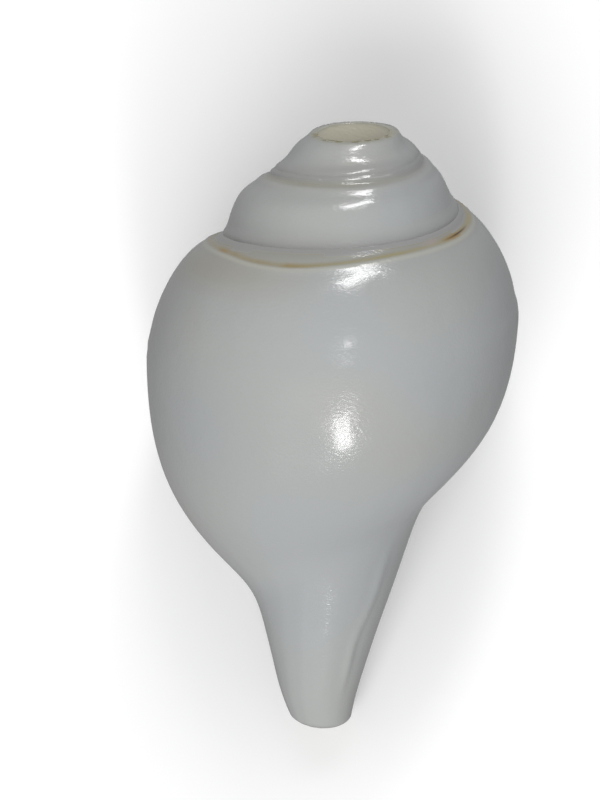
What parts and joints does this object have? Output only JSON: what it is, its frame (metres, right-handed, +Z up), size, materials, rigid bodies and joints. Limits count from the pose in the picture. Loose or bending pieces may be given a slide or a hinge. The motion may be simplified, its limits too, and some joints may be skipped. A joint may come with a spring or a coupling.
{
  "type": "conch shell",
  "caption": "Polished white blowing conch: a right-coiled chank shell with its apex ground off to a blow hole and a long canal.",
  "frame": {"origin": "middle of the bounding box in X and Y, on the surface that the shell lies on", "axes": "+Y towards the ground-off apex and its blow hole, -Y towards the canal's tip, +Z up through the back, so the mouth is underneath"},
  "size_m": [0.0926, 0.153, 0.0808],
  "materials": {
    "polished_shell": "polished grey-white shell with faint cream patches and a stained suture"
  },
  "bodies": {
    "root": {"shell": "polished_shell"}
  },
  "joints": []
}
